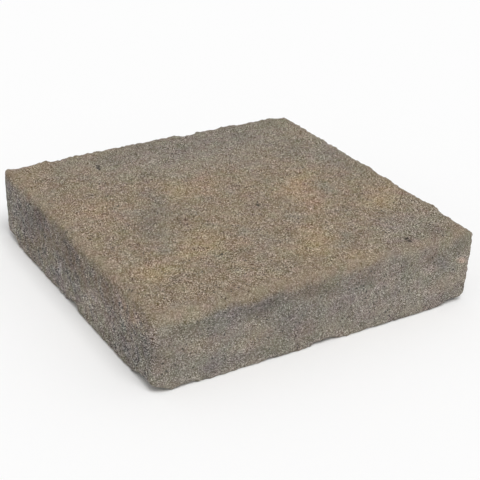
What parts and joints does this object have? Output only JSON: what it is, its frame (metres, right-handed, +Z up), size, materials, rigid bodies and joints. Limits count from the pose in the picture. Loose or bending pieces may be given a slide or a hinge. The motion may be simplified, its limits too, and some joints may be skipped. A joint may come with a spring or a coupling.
{
  "type": "concrete paver",
  "caption": "Square tumbled concrete paver with a rounded wearing face, chipped bed edges and knocked-off corners, laid flat as paving or stepping stone.",
  "frame": {"origin": "middle of the bed face, on the ground the paver lies on", "axes": "+Z up, from the bed face to the wearing face; +X and +Y square to the sides"},
  "size_m": [0.267, 0.267, 0.06],
  "materials": {
    "concrete": "rough dry-pressed concrete, tumbled, blended tan and charcoal pigment"
  },
  "bodies": {
    "root": {"paver": "concrete"}
  },
  "joints": []
}
